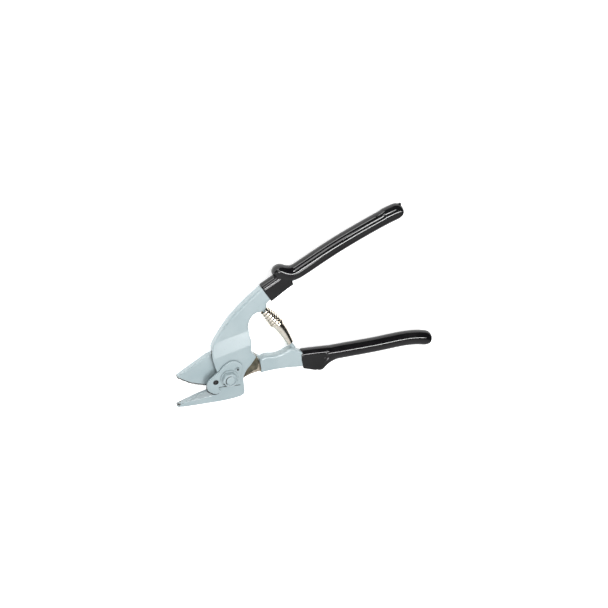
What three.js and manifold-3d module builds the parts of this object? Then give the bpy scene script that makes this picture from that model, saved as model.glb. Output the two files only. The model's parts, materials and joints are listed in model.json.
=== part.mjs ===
// One-hand cutter for steel strapping: two forged arms crossed in a half-lap joint on a pivot
// bolt, a strap stop clamped under the bolt head, dipped vinyl grips and a double volute spring.
// Millimetres. +Z is the pivot axis with the bolt head up, +X runs out along the lower handle,
// and the origin is the middle of the bolt's threaded end, on which the tool rests when laid down.
import * as THREE from 'three';
import { mergeVertices } from 'three/addons/utils/BufferGeometryUtils.js';
import Module from 'manifold-3d';

const wasm = await Module();
wasm.setup();

// ---------------------------------------------------------------- driving dimensions
const HUB_THICKNESS = 7;            // each arm's half of the lap joint
const SHANK_THICKNESS = 10;         // both arms outside the joint
const RUNNING_GAP = 0.05;           // between the moving arm and the washer behind it
const SHEAR_GAP = 0.1;              // between the two flat shear faces
const SHANK_CHAMFER = 2;            // across the front and back edges of the shanks
const SHANK_CHAMFER_HEIGHT = 1.8;
const HUB_CHAMFER = 0.6;
const BLADE_CHAMFER = 0.5;
const SHOULDER_RADIUS = 35.8;       // the moving arm steps up to full thickness here
const SHOULDER_CLEARANCE = 0.4;     // between that step and the fixed arm's bite
const LAP_CLEARANCE = 1.5;          // round the moving arm's hub behind the fixed arm
const SHOULDER_TOP_ANGLE = 18;      // degrees; the step's upper corner with the jaws open
const CLOSING_ANGLE = 26;           // degrees from open to shut
const CLOSED_CLEARANCE = 1.5;       // degrees left between that corner and the bite when shut
const JOGGLE_DIRECTION = 104;       // degrees; the fixed arm's way out from the pivot
const JOGGLE_START = 26;            // along it, where the hub's front face starts to slope down
const JOGGLE_END = 43;              // and where it meets the shank's front face
const JAW_SLOPE_WIDTH = 10;         // sloped land along the lower jaw's cutting edge
const JAW_SLOPE_DROP = 4.2;
const JAW_RIDGE_DIRECTION = 95;     // degrees; square to the ridge that the land falls from

const BOLT_DIAMETER = 10;           // plain part of the pivot bolt
const BOLT_FIT = 0.1;               // radial running clearance
const THREAD_DIAMETER = 8;
const HEAD_ACROSS_FLATS = 14.3;
const HEAD_HEIGHT = 5.6;
const HEAD_CHAMFER_HEIGHT = 2;
const HEAD_GROOVE_DIAMETER = 11.4;  // a turned groove round the head's flat middle
const HEAD_GROOVE_WIDTH = 0.8;
const HEAD_GROOVE_DEPTH = 0.6;
const HEAD_TURN = 33;               // degrees; how the bolt's flats happen to stand
const HEAD_WASHER_DIAMETER = 19;
const HEAD_WASHER_THICKNESS = 1.4;
const BUSH_WALL = 2;
const PRESS_GAP = 0.05;             // left between pieces that are pressed together
const NUT_ACROSS_FLATS = 13;
const NUT_HEIGHT = 5;
const NUT_INSERT_HEIGHT = 1.6;
const WASHER_THICKNESS = 1.6;
const WASHER_DIAMETER = 20;
const DISC_THICKNESS = 0.9;
const DISC_RISE = 0.5;              // how far the disc spring is still dished
const THREAD_STANDOUT = 1.2;
const EDGE_CHAMFER = 0.6;           // on the thread's end and the nut

const STOP_THICKNESS = 2.6;         // strap stop plate
const STOP_CHAMFER = 0.35;
const STOP_HOLE_DIAMETER = 5.7;     // open past the hub's edge, to the blade behind
const STOP_HOLE_PLACE = [-14.5, -3.2];
const PIN_DIAMETER = 4;
const PIN_STANDOUT = 1.2;
const PIN_WALL = 0.9;
const PIN_SLOT = 0.8;
const PIN_DEPTH = 5;                // into the fixed arm
const PIN_PLACE = [9.2, 8.8];

const TANG_WIDTH = 12;              // bar inside the grips
const TANG_MOUTH_WIDTH = 18;        // the same bar where it enters them
const TANG_TAPER_LENGTH = 30;
const GRIP_WIDTH = 17.5;            // across the grip, in the plane of the tool
const GRIP_THICKNESS = 14.5;        // along the pivot axis
const GRIP_MOUTH_WIDTH = 22.5;
const GRIP_END_WALL = 7;
const GRIP_FIT = 0.35;
const GUARD_REACH = 18.5;           // top of the finger guard above the grip's middle line
const GUARD_PLACE = 23;             // along the grip from its mouth
const GUARD_HALF_LENGTH = 7;
const GUARD_RUNOUT = 1.4;           // how much longer it is on the side away from the mouth
const GRIP_STATIONS = 30;

const SPRING_WIDE_DIAMETER = 15.5;
const SPRING_NARROW_DIAMETER = 9;
const SPRING_STRIP = 1.3;
const SPRING_STEPS = 5;
const SPRING_GAP = 0.3;
const SPRING_SPLIT = 0.42;          // share of its length where the two cones meet
const SPRING_CROWN = 0.55;          // share of its length where it bows out furthest
const SPRING_ARCH = 2.6;            // how far it bows out of the straight line
const PEG_DIAMETER = 4.4;
const PEG_LENGTH = 6;
const PEG_ROOT = 6;                 // buried in the arm
const PEG_TAPER = 0.4;

const ARC_SEGMENTS = 48;

// ---------------------------------------------------------------- heights above the shear plane
const STOP_TOP = HUB_THICKNESS + STOP_THICKNESS;
const HEAD_SEAT = STOP_TOP + HEAD_WASHER_THICKNESS;
const HEAD_TOP = HEAD_SEAT + HEAD_HEIGHT;
const WASHER_FRONT = -HUB_THICKNESS - RUNNING_GAP;
const WASHER_BACK = WASHER_FRONT - WASHER_THICKNESS;
const DISC_BACK = WASHER_BACK - DISC_THICKNESS - DISC_RISE;
const NUT_BACK = DISC_BACK - NUT_HEIGHT;
const BOLT_END = NUT_BACK - THREAD_STANDOUT;

// ---------------------------------------------------------------- small tools
const v2 = (x, y) => new THREE.Vector2(x, y);
const points = (...pairs) => pairs.map(([x, y]) => v2(x, y));
const smooth = (list, count) => new THREE.SplineCurve(list).getPoints(count);
const radians = THREE.MathUtils.degToRad;

function solid(geometry) {
  const bare = geometry.index ? geometry.toNonIndexed() : geometry.clone();
  bare.deleteAttribute('normal');
  bare.deleteAttribute('uv');
  const merged = mergeVertices(bare, 1e-4);
  const mesh = new wasm.Mesh({
    numProp: 3,
    vertProperties: new Float32Array(merged.attributes.position.array),
    triVerts: new Uint32Array(merged.index.array),
  });
  mesh.merge();
  return new wasm.Manifold(mesh);
}

function geometryOf(manifold) {
  const mesh = manifold.getMesh();
  const geometry = new THREE.BufferGeometry();
  geometry.setAttribute('position', new THREE.BufferAttribute(mesh.vertProperties, 3));
  geometry.setIndex(new THREE.BufferAttribute(mesh.triVerts, 1));
  geometry.computeVertexNormals();
  return geometry;
}

// A flat plate between two heights, with its upper and lower edges chamfered by the same outline.
function plate(outline, bottom, top, chamfer = 0, chamferHeight = chamfer, rounds = 1) {
  const shape = new THREE.Shape(outline);
  const geometry = new THREE.ExtrudeGeometry(shape, {
    depth: top - bottom - 2 * chamferHeight,
    bevelEnabled: chamfer > 0,
    bevelSize: chamfer,
    bevelThickness: chamferHeight,
    bevelOffset: -chamfer,
    bevelSegments: rounds,
    curveSegments: 12,
  });
  geometry.translate(0, 0, bottom + chamferHeight);
  return solid(geometry);
}

// A round piece about the pivot axis from radius and height pairs.
function turned(pairs, segments = ARC_SEGMENTS) {
  const geometry = new THREE.LatheGeometry(points(...pairs), segments);
  geometry.rotateX(Math.PI / 2);
  return solid(geometry);
}

function rod(diameter, bottom, top, x = 0, y = 0, segments = ARC_SEGMENTS) {
  const r = diameter / 2;
  return turned([[0, bottom], [r, bottom], [r, top], [0, top]], segments).translate([x, y, 0]);
}

function hexPrism(acrossFlats, bottom, top) {
  const geometry = new THREE.CylinderGeometry(acrossFlats / Math.sqrt(3), acrossFlats / Math.sqrt(3),
    top - bottom, 6);
  geometry.rotateX(Math.PI / 2);
  geometry.translate(0, 0, (top + bottom) / 2);
  return solid(geometry);
}

const part = new THREE.Group();
// The arms are drawn about the pivot at the shear plane, and the group lifts them to the origin.
part.position.z = -BOLT_END;

function addPiece(name, manifold, material) {
  const mesh = new THREE.Mesh(geometryOf(manifold), material);
  mesh.name = name;
  part.add(mesh);
}

// ---------------------------------------------------------------- materials
const paint = new THREE.MeshStandardMaterial({ color: 0xc3d2d6, roughness: 0.42, metalness: 0.05 });
const vinyl = new THREE.MeshStandardMaterial({ color: 0x0c0c0d, roughness: 0.16, metalness: 0 });
const springSteel = new THREE.MeshStandardMaterial({ color: 0xe4dac6, roughness: 0.25, metalness: 0.9 });
const zincSteel = new THREE.MeshStandardMaterial({ color: 0xa9adb0, roughness: 0.35, metalness: 0.9 });
const bronze = new THREE.MeshStandardMaterial({ color: 0xa67c45, roughness: 0.4, metalness: 0.9 });
const nylon = new THREE.MeshStandardMaterial({ color: 0xe9e6da, roughness: 0.5, metalness: 0 });

// ---------------------------------------------------------------- the two handles' middle lines
const upperLine = new THREE.SplineCurve(points(
  [43, 89], [61, 100], [80, 109.5], [120, 131.4], [161, 150.6], [191.5, 162.4]));
const lowerLine = new THREE.SplineCurve(points(
  [80.5, 4], [100, 4.3], [130, 4.4], [165, 5], [198, 6.4], [217, 5], [233, 0.8]));

// A point beside a middle line: `along` in millimetres, `aside` to the left of its direction.
function beside(line, along, aside) {
  const share = THREE.MathUtils.clamp(along / line.getLength(), 0, 1);
  const point = line.getPointAt(share);
  const direction = line.getTangentAt(share);
  return v2(point.x - direction.y * aside, point.y + direction.x * aside);
}

function tangHalfWidth(along) {
  const taper = THREE.MathUtils.smoothstep(along, 0, TANG_TAPER_LENGTH);
  return THREE.MathUtils.lerp(TANG_MOUTH_WIDTH, TANG_WIDTH, taper) / 2;
}

// One side of a tang from the mouth to its rounded end, `side` +1 for the left side.
function tangSide(line, side, grow = 0) {
  const length = line.getLength() - GRIP_END_WALL;
  const steps = [0, 0.1, 0.2, 0.35, 0.5, 0.65, 0.8, 0.92];
  const list = steps.map((share) => {
    const along = share * length;
    return beside(line, along, side * (tangHalfWidth(along) + grow));
  });
  list.push(beside(line, length + grow, side * (TANG_WIDTH / 2 + grow) * 0.55));
  return list;
}

function tangOutline(line, grow, mouth) {
  const left = tangSide(line, 1, grow);
  const right = tangSide(line, -1, grow);
  const back = beside(line, 0, 0).sub(beside(line, mouth, 0));
  left[0] = beside(line, 0, tangHalfWidth(0) + grow).add(back);
  right[0] = beside(line, 0, -tangHalfWidth(0) - grow).add(back);
  return [...right, ...left.reverse()];
}

// ---------------------------------------------------------------- outlines of the arms
const bore = BOLT_DIAMETER / 2 + BOLT_FIT;
const biteRadius = SHOULDER_RADIUS - SHOULDER_CLEARANCE;
const lapRadius = SHOULDER_RADIUS + LAP_CLEARANCE;
const biteFlare = 4.6;               // how far out the bite opens into the arm's inner edge
const polar = (radius, angle) => [radius * Math.cos(radians(angle)), radius * Math.sin(radians(angle))];

// The fixed arm is bitten away as far round as the moving arm's step reaches when the jaws are shut.
const biteTopAngle = SHOULDER_TOP_ANGLE + CLOSING_ANGLE + CLOSED_CLEARANCE;
const biteMouth = polar(biteRadius + biteFlare, biteTopAngle + biteFlare);

function fixedShankOutline() {
  const outer = smooth(points([-15, 27], [-16.2, 33], [-13.6, 40], [-7, 51], [6, 68], [22, 83.5]), 22);
  outer.push(beside(upperLine, 0, tangHalfWidth(0)));
  const inner = smooth(points([47.6, 81.4], [43.6, 77.5], [43.2, 73], [38.4, 69], [31.5, 68], [26, 62.5],
    [23.7, 55], [23.6, 47], [25.6, 38.5], biteMouth), 28);
  const bite = points(polar(biteRadius, biteTopAngle), polar(biteRadius, biteTopAngle - 8));
  const tang = [...tangSide(upperLine, 1), ...tangSide(upperLine, -1).reverse()];
  return [...outer, ...tang.slice(1, -1), ...inner, ...bite, v2(0, 20)];
}

function fixedHubOutline() {
  const left = smooth(points([-6.5, 50], [-13.2, 39.5], [-16, 32], [-16, 24], [-13.8, 13], [-11.4, 4],
    [-11, -4], [-13, -9.6], [-16.6, -12.4]), 24);
  const jawTop = smooth(points([-22, -14.6], [-33, -17.2], [-44, -20.8], [-54.2, -24.3]), 8);
  const jawTip = points([-56.3, -25.4], [-56.2, -26.8]);
  const jawBottom = smooth(points([-54.4, -27.5], [-47, -28.3], [-23, -28.9], [-5, -29],
    [9, -27.8], [15, -25.8], [17, -22], [16.4, -13], [16.2, -5], [18, 0.5], [20.4, 4.6], [24.6, 9.4]), 36);
  const bite = smooth(points(polar(biteRadius, 30), polar(biteRadius, 37.5),
    polar(biteRadius, biteTopAngle), biteMouth, [25.6, 38.5],
    [23.8, 46], [23.7, 52]), 12);
  return [...left, ...jawTop, ...jawTip, ...jawBottom, ...bite];
}

function movingShankOutline() {
  const corner = [-7, 1, 8, SHOULDER_TOP_ANGLE - 3].map((angle) => polar(SHOULDER_RADIUS, angle));
  const cornerTop = polar(SHOULDER_RADIUS + 1.5, SHOULDER_TOP_ANGLE + 1.5);
  const top = smooth(points(cornerTop, [40, 15], [45, 15], [52, 14.2], [60, 16], [67.5, 19.6], [73, 18.8],
    [77, 15.4]), 22);
  const bottom = smooth(points([75, -4.6], [66, -3.6], [54, -3.2], [45, -3.4], [39, -3.9]), 8);
  return [...points(...corner), ...top, ...tangSide(lowerLine, 1), ...tangSide(lowerLine, -1).reverse(),
    ...bottom];
}

function movingHubOutline() {
  const blade = points([-24, -11], [-36, -7], [-41.5, -4.6], [-47.6, -0.6], [-51.6, 2.2], [-53.4, 3.6],
    [-52.8, 5], [-20.5, 24.6]);
  // The hub's back keeps inside the step, so it clears the fixed arm's relief as it swings.
  const rim = (inset, angle) => polar(SHOULDER_RADIUS - inset, angle);
  const top = smooth(points(rim(5.1, 123.6), rim(4.3, 104.7), rim(3, 83), rim(2, 57.8), rim(1.4, 30.7),
    [38, 11.2], [46, 9]), 24);
  const bottom = smooth(points([46, -1.5], [36, -4.4], [28, -5.8], [20, -8.6], [12, -13.4], [0, -16],
    [-12, -14.5]), 18);
  return [...blade, ...top, ...bottom];
}

// ---------------------------------------------------------------- arms
// The fixed arm's hub stands forward of its shank; this wedge is what the sloped joggle takes away.
function joggleCut() {
  const drop = HUB_THICKNESS - SHANK_THICKNESS / 2;
  const fall = drop / (JOGGLE_END - JOGGLE_START);
  const reach = 80;                  // past everything the slope must clear
  const above = HUB_THICKNESS + reach;
  const farEnd = JOGGLE_START + reach;
  const profile = new THREE.Shape(points([JOGGLE_START, HUB_THICKNESS],
    [farEnd, HUB_THICKNESS - fall * reach], [farEnd, above], [JOGGLE_START, above]));
  const geometry = new THREE.ExtrudeGeometry(profile, { depth: 2 * reach, bevelEnabled: false });
  geometry.translate(0, 0, -reach);
  geometry.rotateX(Math.PI / 2);
  geometry.rotateZ(radians(JOGGLE_DIRECTION));
  return solid(geometry);
}

function springPeg(end, direction) {
  const length = PEG_LENGTH + PEG_ROOT;
  const radius = PEG_DIAMETER / 2;
  const geometry = new THREE.CylinderGeometry(radius - PEG_TAPER, radius, length, 20);
  geometry.translate(0, length / 2 - PEG_ROOT, 0);
  geometry.rotateZ(Math.atan2(direction.y, direction.x) - Math.PI / 2);
  geometry.translate(end.x, end.y, 0);
  return solid(geometry);
}

const springTop = v2(41.1, 69);
const springFoot = v2(70.4, 22.7);
const springChord = springFoot.clone().sub(springTop);
const springDirection = springChord.clone().normalize();
const springCrown = springTop.clone().addScaledVector(springChord, SPRING_CROWN)
  .add(v2(-springDirection.y, springDirection.x).multiplyScalar(SPRING_ARCH));
const springLine = new THREE.SplineCurve([springTop, springCrown, springFoot]);

// The lower jaw's front edge slopes down to the shear edge from a ridge along the jaw.
function jawSlopeCut() {
  const foot = HUB_THICKNESS - JAW_SLOPE_DROP;
  const above = HUB_THICKNESS + 12;
  const beyond = JAW_SLOPE_WIDTH + 12;
  const length = 46;
  const profile = new THREE.Shape(points([0, HUB_THICKNESS], [JAW_SLOPE_WIDTH, foot], [beyond, foot],
    [beyond, above], [0, above]));
  const geometry = new THREE.ExtrudeGeometry(profile, { depth: length, bevelEnabled: false });
  geometry.rotateX(Math.PI / 2);
  geometry.rotateZ(radians(JAW_RIDGE_DIRECTION));
  geometry.translate(-18 - length, -24.4, 0);
  return solid(geometry);
}

function fixedArm() {
  const hub = plate(fixedHubOutline(), SHEAR_GAP / 2, HUB_THICKNESS, HUB_CHAMFER)
    .subtract(joggleCut())
    .subtract(jawSlopeCut());
  const shank = plate(fixedShankOutline(), -SHANK_THICKNESS / 2, SHANK_THICKNESS / 2,
    SHANK_CHAMFER, SHANK_CHAMFER_HEIGHT, 2);
  const lapRelief = rod(2 * lapRadius, -SHANK_THICKNESS, SHEAR_GAP / 2, 0, 0, 2 * ARC_SEGMENTS);
  const pinHole = rod(PIN_DIAMETER + 2 * PRESS_GAP, HUB_THICKNESS - PIN_DEPTH, STOP_TOP,
    ...PIN_PLACE, 24);
  return hub.add(shank.subtract(lapRelief))
    .add(springPeg(springTop, springDirection))
    .subtract(rod(2 * bore, -1, STOP_TOP))
    .subtract(pinHole);
}

function movingArm() {
  const hub = plate(movingHubOutline(), -HUB_THICKNESS, -SHEAR_GAP / 2, BLADE_CHAMFER);
  const shank = plate(movingShankOutline(), -SHANK_THICKNESS / 2, SHANK_THICKNESS / 2,
    SHANK_CHAMFER, SHANK_CHAMFER_HEIGHT, 2);
  return hub.add(shank)
    .add(springPeg(springFoot, springDirection.clone().negate()))
    .subtract(rod(2 * (bore + BUSH_WALL + PRESS_GAP), -HUB_THICKNESS - 1, 1));
}

// ---------------------------------------------------------------- pivot hardware
function pivotBolt() {
  const corner = HEAD_ACROSS_FLATS / Math.sqrt(3);
  const flat = HEAD_ACROSS_FLATS / 2;
  const crown = turned([[0, HEAD_SEAT], [corner + 1, HEAD_SEAT],
    [corner + 1, HEAD_TOP - HEAD_CHAMFER_HEIGHT], [flat - EDGE_CHAMFER, HEAD_TOP], [0, HEAD_TOP]]);
  const head = hexPrism(HEAD_ACROSS_FLATS, HEAD_SEAT, HEAD_TOP)
    .rotate([0, 0, HEAD_TURN])
    .intersect(crown)
    .subtract(ring(HEAD_GROOVE_DIAMETER / 2 - HEAD_GROOVE_WIDTH, HEAD_GROOVE_DIAMETER / 2,
      HEAD_TOP - HEAD_GROOVE_DEPTH, HEAD_TOP + 1));
  const shoulder = BOLT_DIAMETER / 2;
  const thread = THREAD_DIAMETER / 2;
  const shaft = turned([[0, BOLT_END], [thread - EDGE_CHAMFER, BOLT_END],
    [thread, BOLT_END + EDGE_CHAMFER], [thread, -HUB_THICKNESS], [shoulder, -HUB_THICKNESS],
    [shoulder, HEAD_SEAT + 1], [0, HEAD_SEAT + 1]]);
  return head.add(shaft);
}

function ring(inner, outer, bottom, top) {
  return turned([[inner, bottom], [outer, bottom], [outer, top], [inner, top], [inner, bottom]]);
}

function discSpring() {
  const inner = THREAD_DIAMETER / 2 + BOLT_FIT;
  const outer = WASHER_DIAMETER / 2 - 1.5;            // a little smaller than the washer it presses on
  const low = DISC_BACK;
  return turned([[inner, low], [outer, low + DISC_RISE], [outer, low + DISC_RISE + DISC_THICKNESS],
    [inner, low + DISC_THICKNESS], [inner, low]]);
}

const insertRadius = NUT_ACROSS_FLATS / 2 - 1.3;    // the nylon ring fills the nut's collar out to here

function lockNut() {
  const corner = NUT_ACROSS_FLATS / Math.sqrt(3);
  const crown = turned([[0, NUT_BACK], [NUT_ACROSS_FLATS / 2 - EDGE_CHAMFER, NUT_BACK],
    [NUT_ACROSS_FLATS / 2, NUT_BACK + NUT_INSERT_HEIGHT], [corner + 1, NUT_BACK + NUT_INSERT_HEIGHT],
    [corner + 1, DISC_BACK], [0, DISC_BACK]]);
  return hexPrism(NUT_ACROSS_FLATS, NUT_BACK, DISC_BACK).intersect(crown)
    .subtract(rod(THREAD_DIAMETER + 2 * BOLT_FIT, NUT_BACK - 1, DISC_BACK + 1))
    .subtract(rod(2 * insertRadius, NUT_BACK - 1, NUT_BACK + NUT_INSERT_HEIGHT));
}

function strapStop() {
  const outline = [
    ...smooth(points([-14, 6.2], [-10, 9], [-5.5, 14.5], [1.5, 18.6], [8.5, 18], [14, 13], [14.2, 6],
      [12.4, -2], [12.6, -10.8]), 30),
    ...points([4, -10.6], [-6, -9.6], [-11.6, -9.8]),
    ...smooth(points([-11.2, -12.4], [-9.4, -15], [-12, -17.2], [-17, -17], [-22.6, -12.6],
      [-24.2, -7.5], [-22.4, -1.2], [-14, 6.2]), 24).slice(0, -1),
  ];
  const stopHole = rod(STOP_HOLE_DIAMETER, HUB_THICKNESS - 1, STOP_TOP + 1, ...STOP_HOLE_PLACE, 24);
  const pinHole = rod(PIN_DIAMETER + 2 * PRESS_GAP, HUB_THICKNESS - 1, STOP_TOP + 1,
    ...PIN_PLACE, 24);
  return plate(outline, HUB_THICKNESS, STOP_TOP, STOP_CHAMFER)
    .subtract(stopHole)
    .subtract(pinHole)
    .subtract(rod(2 * bore, HUB_THICKNESS - 1, STOP_TOP + 1));
}

// A slotted pin: a rolled steel strip whose two edges leave a slot.
function stopPin() {
  const outer = PIN_DIAMETER / 2;
  const inner = outer - PIN_WALL;
  const half = Math.asin(PIN_SLOT / 2 / outer);
  const shape = new THREE.Shape();
  shape.absarc(0, 0, outer, half, 2 * Math.PI - half, false);
  shape.absarc(0, 0, inner, 2 * Math.PI - half, half, true);
  const bottom = HUB_THICKNESS - PIN_DEPTH + PRESS_GAP;
  const geometry = new THREE.ExtrudeGeometry(shape,
    { depth: STOP_TOP + PIN_STANDOUT - bottom, bevelEnabled: false, curveSegments: 16 });
  geometry.translate(...PIN_PLACE, bottom);
  return solid(geometry);
}

// ---------------------------------------------------------------- grips
// A dipped sleeve round a middle line, swollen at its mouth, with a guard on the `outside`.
function gripHalfWidth(along, isOutside) {
  const body = THREE.MathUtils.lerp(GRIP_MOUTH_WIDTH, GRIP_WIDTH,
    THREE.MathUtils.smoothstep(along, 12, GUARD_PLACE + GUARD_HALF_LENGTH)) / 2;
  if (!isOutside) return body;
  const spread = along < GUARD_PLACE ? GUARD_HALF_LENGTH : GUARD_HALF_LENGTH * GUARD_RUNOUT;
  const rise = Math.exp(-(((along - GUARD_PLACE) / spread) ** 2));
  return body + (GUARD_REACH - body) * rise;
}

function gripSolid(line, outside) {
  const length = line.getLength();
  const roundStart = length - GRIP_WIDTH / 2;
  const profile = [[0, 0], [1, 0]];
  for (let i = 1; i <= GRIP_STATIONS; i += 1) {
    const along = roundStart * (i / GRIP_STATIONS) ** 1.25;   // closer together round the guard
    profile.push([1, along]);
  }
  for (const turn of [30, 55, 75].map(radians)) {
    profile.push([Math.cos(turn), roundStart + (length - roundStart) * Math.sin(turn)]);
  }
  profile.push([0, length]);
  const geometry = new THREE.LatheGeometry(points(...profile), 24);
  const place = geometry.attributes.position;
  for (let i = 0; i < place.count; i += 1) {
    const along = place.getY(i);
    const across = place.getX(i);
    const half = gripHalfWidth(along, Math.sign(across) === outside);
    const at = beside(line, along, across * half);
    place.setXYZ(i, at.x, at.y, -place.getZ(i) * GRIP_THICKNESS / 2);
  }
  return solid(geometry);
}

function grip(line, outside) {
  const pocketHalf = SHANK_THICKNESS / 2 + GRIP_FIT;
  const mouthOverrun = 4;
  const pocket = plate(tangOutline(line, GRIP_FIT, mouthOverrun), -pocketHalf, pocketHalf,
    SHANK_CHAMFER, SHANK_CHAMFER_HEIGHT, 2);
  return gripSolid(line, outside).subtract(pocket);
}

// ---------------------------------------------------------------- volute springs
// A cone of overlapping flat turns, each a step wider than the last, along the spring's middle line.
function volute(start, length, narrowEnd, wideEnd) {
  const hole = PEG_DIAMETER / 2 + SPRING_GAP;
  const profile = [[hole, 0]];
  for (let i = 0; i < SPRING_STEPS; i += 1) {
    const radius = THREE.MathUtils.lerp(narrowEnd, wideEnd, i / (SPRING_STEPS - 1)) / 2;
    profile.push([radius, length * i / SPRING_STEPS], [radius, length * (i + 1) / SPRING_STEPS]);
  }
  profile.push([hole, length], [hole, 0]);
  const geometry = new THREE.LatheGeometry(points(...profile), 24);
  const place = geometry.attributes.position;
  for (let i = 0; i < place.count; i += 1) {
    const at = beside(springLine, start + place.getY(i), place.getX(i));
    place.setXYZ(i, at.x, at.y, -place.getZ(i));
  }
  return solid(geometry);
}

const upperConeLength = springLine.getLength() * SPRING_SPLIT;
const lowerConeStart = upperConeLength + SPRING_GAP;

// ---------------------------------------------------------------- the assembly
addPiece('fixed_arm', fixedArm(), paint);
addPiece('moving_arm', movingArm(), paint);
addPiece('upper_grip', grip(upperLine, 1), vinyl);
addPiece('lower_grip', grip(lowerLine, -1), vinyl);
addPiece('pivot_bolt', pivotBolt(), paint);
addPiece('head_washer', ring(bore, HEAD_WASHER_DIAMETER / 2, STOP_TOP, HEAD_SEAT), paint);
addPiece('strap_stop', strapStop(), paint);
addPiece('stop_pin', stopPin(), zincSteel);
addPiece('pivot_bush', ring(bore, bore + BUSH_WALL, -HUB_THICKNESS, -SHEAR_GAP / 2), bronze);
addPiece('back_washer', ring(THREAD_DIAMETER / 2 + BOLT_FIT, WASHER_DIAMETER / 2, WASHER_BACK,
  WASHER_FRONT), zincSteel);
addPiece('disc_spring', discSpring(), zincSteel);
addPiece('lock_nut', lockNut(), zincSteel);
addPiece('nut_insert', ring(THREAD_DIAMETER / 2 + PRESS_GAP, insertRadius - PRESS_GAP, NUT_BACK,
  NUT_BACK + NUT_INSERT_HEIGHT - PRESS_GAP), nylon);
addPiece('spring_upper_cone', volute(0, upperConeLength, SPRING_NARROW_DIAMETER, SPRING_WIDE_DIAMETER),
  springSteel);
addPiece('spring_lower_cone', volute(lowerConeStart, springLine.getLength() - lowerConeStart,
  SPRING_WIDE_DIAMETER - SPRING_STRIP, SPRING_NARROW_DIAMETER - SPRING_STRIP), springSteel);

export default part;
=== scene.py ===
"""Looks for a one-hand steel strap cutter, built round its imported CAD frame.

Blender works in metres, with +Z along the pivot's axis. Sizes here are in millimetres about the pivot, at
the shear plane where the two arms meet, and MM and SHEAR_Z take them into Blender's frame.
"""
import json
import math

import bmesh
import bpy
from mathutils import Matrix, Vector, noise

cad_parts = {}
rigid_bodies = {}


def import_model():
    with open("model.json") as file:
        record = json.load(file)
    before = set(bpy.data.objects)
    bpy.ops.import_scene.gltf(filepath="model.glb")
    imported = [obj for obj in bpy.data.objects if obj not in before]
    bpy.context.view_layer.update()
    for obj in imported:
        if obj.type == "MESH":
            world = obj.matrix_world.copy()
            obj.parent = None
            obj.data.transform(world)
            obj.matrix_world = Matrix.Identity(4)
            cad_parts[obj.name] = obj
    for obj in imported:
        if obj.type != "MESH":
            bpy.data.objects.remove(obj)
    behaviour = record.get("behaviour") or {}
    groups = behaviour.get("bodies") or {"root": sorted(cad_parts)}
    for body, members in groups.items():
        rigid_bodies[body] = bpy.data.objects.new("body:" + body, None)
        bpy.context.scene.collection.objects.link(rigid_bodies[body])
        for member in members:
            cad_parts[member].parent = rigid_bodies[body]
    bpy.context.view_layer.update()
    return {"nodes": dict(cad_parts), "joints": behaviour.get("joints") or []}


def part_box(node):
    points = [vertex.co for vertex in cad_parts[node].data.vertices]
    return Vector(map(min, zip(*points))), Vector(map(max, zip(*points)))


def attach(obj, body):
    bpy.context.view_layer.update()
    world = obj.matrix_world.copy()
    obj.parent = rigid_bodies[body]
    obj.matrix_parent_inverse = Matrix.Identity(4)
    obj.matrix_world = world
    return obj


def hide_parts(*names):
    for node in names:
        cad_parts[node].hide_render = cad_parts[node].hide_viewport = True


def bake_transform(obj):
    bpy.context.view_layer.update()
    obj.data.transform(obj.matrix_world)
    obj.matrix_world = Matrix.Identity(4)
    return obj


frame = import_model()

MM = 0.001
PIVOT = frame["joints"][0]
SHEAR_Z = PIVOT["pos_m"][2]            # height of the shear plane in the frame
FIXED = PIVOT["parent"]
MOVING = PIVOT["child"]
scene = bpy.context.scene


# ---------------------------------------------------------------- curves in the plane of the tool
class Line:
    """A smooth line through points, in millimetres about the pivot, measured along its length."""

    def __init__(self, points, samples=400):
        self.points = [Vector((x, y, 0)) for x, y in points]
        self.table = [self._at(i / samples) for i in range(samples + 1)]
        self.lengths = [0.0]
        for a, b in zip(self.table, self.table[1:]):
            self.lengths.append(self.lengths[-1] + (b - a).length)
        self.length = self.lengths[-1]

    def _at(self, share):
        """The point at a share of the way through the points, on a Catmull-Rom curve."""
        spans = len(self.points) - 1
        place = min(share * spans, spans - 1e-9)
        i = int(place)
        t = place - i
        p1, p2 = self.points[i], self.points[i + 1]
        p0 = self.points[max(i - 1, 0)]
        p3 = self.points[min(i + 2, spans)]
        v0, v1 = (p2 - p0) / 2, (p3 - p1) / 2
        a = 2 * p1 - 2 * p2 + v0 + v1
        b = -3 * p1 + 3 * p2 - 2 * v0 - v1
        return ((a * t + b) * t + v0) * t + p1

    def at(self, along):
        """The point `along` millimetres down the line."""
        along = min(max(along, 0.0), self.length)
        low, high = 0, len(self.lengths) - 1
        while high - low > 1:
            middle = (low + high) // 2
            if self.lengths[middle] <= along:
                low = middle
            else:
                high = middle
        span = self.lengths[high] - self.lengths[low]
        return self.table[low].lerp(self.table[high], (along - self.lengths[low]) / span)

    def direction(self, along):
        step = 0.6
        ahead, behind = self.at(along + step), self.at(along - step)
        return (ahead - behind).normalized()

    def beside(self, along, aside, up):
        """The frame's point beside the line: `aside` to the left, `up` along the pivot axis."""
        overrun = along - min(max(along, 0.0), self.length)
        d = self.direction(along)
        p = self.at(along) + d * overrun + Vector((-d.y, d.x, 0)) * aside
        return Vector((p.x * MM, p.y * MM, up * MM + SHEAR_Z))


UPPER_LINE = Line([(43, 89), (61, 100), (80, 109.5), (120, 131.4), (161, 150.6), (191.5, 162.4)])
LOWER_LINE = Line([(80.5, 4), (100, 4.3), (130, 4.4), (165, 5), (198, 6.4), (217, 5), (233, 0.8)])
SPRING_TOP = Vector((41.1, 69, 0))
SPRING_FOOT = Vector((70.4, 22.7, 0))
SPRING_ARCH = 2.6                      # how far the spring bows outward from its chord
SPRING_CROWN = 0.55                    # where along the chord it bows the most


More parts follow.
